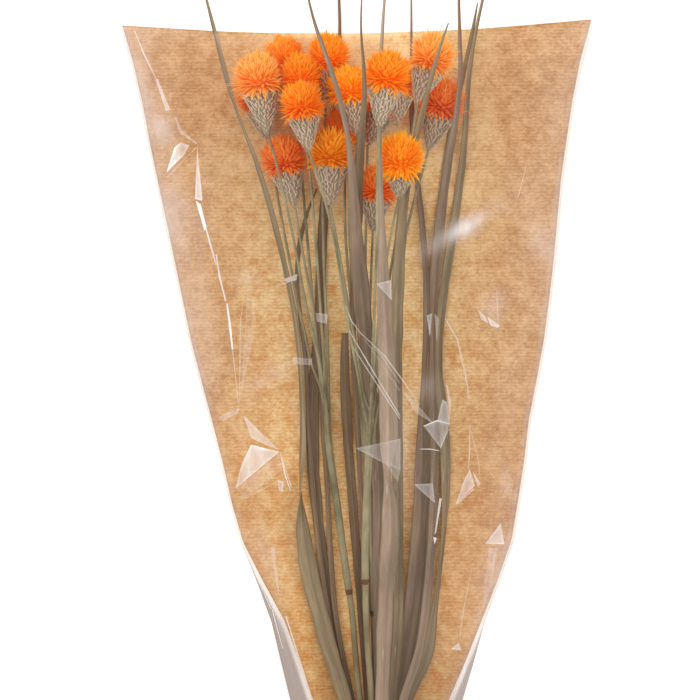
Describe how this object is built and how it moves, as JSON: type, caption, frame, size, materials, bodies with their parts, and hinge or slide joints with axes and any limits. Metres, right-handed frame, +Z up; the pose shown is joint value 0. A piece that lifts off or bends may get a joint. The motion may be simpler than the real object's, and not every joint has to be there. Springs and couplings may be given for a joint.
{
  "type": "dried thistle bouquet in paper sleeve",
  "caption": "Bunch of dried orange thistle heads and long strap leaves, lying in a tapered flower sleeve of kraft paper with a clear film front.",
  "frame": {"origin": "below the middle of the whole bouquet, on the surface that it lies on", "axes": "+Y along the bouquet from the cut stems to the flowers, +X across it, +Z up from the paper back to the film front"},
  "size_m": [0.3532, 0.7252, 0.1264],
  "materials": {
    "kraft": "matte",
    "film": "gloss",
    "leaf_olive": "matte",
    "leaf_brown": "matte",
    "leaf_purple": "matte",
    "leaf_tan": "matte",
    "stem": "matte",
    "bloom_orange": "matte",
    "bloom_deep": "matte",
    "band": "matte"
  },
  "bodies": {
    "root": {"leaf_left_dark": "leaf_brown", "leaf_left_slim": "leaf_brown", "leaf_left_shred": "leaf_brown", "leaf_right_purple": "leaf_purple", "leaf_right_inner": "leaf_olive", "leaf_right_tan": "leaf_olive", "leaf_middle_tan": "leaf_tan", "leaf_right_olive": "leaf_olive", "leaf_left_long": "leaf_olive", "leaf_middle_thin": "leaf_brown", "leaf_right_long": "leaf_purple", "leaf_middle_torn": "leaf_brown", "leaf_diagonal": "leaf_purple", "thistle_back": "stem", "thistle_left": "stem", "thistle_right": "stem", "bloom_01": "bloom_deep", "bloom_02": "bloom_orange", "bloom_03": "bloom_deep", "bloom_04": "bloom_deep", "bloom_05": "bloom_deep", "bloom_06": "bloom_deep", "bloom_07": "bloom_deep", "bloom_08": "bloom_orange", "bloom_09": "bloom_orange", "bloom_10": "bloom_orange", "bloom_11": "bloom_deep", "bloom_12": "bloom_orange", "bloom_13": "bloom_orange", "bloom_14": "bloom_orange", "bloom_15": "bloom_orange", "bloom_16": "bloom_orange", "bloom_17": "bloom_orange", "stem_band": "band", "sleeve_paper": "kraft", "sleeve_film": "film"}
  },
  "joints": []
}
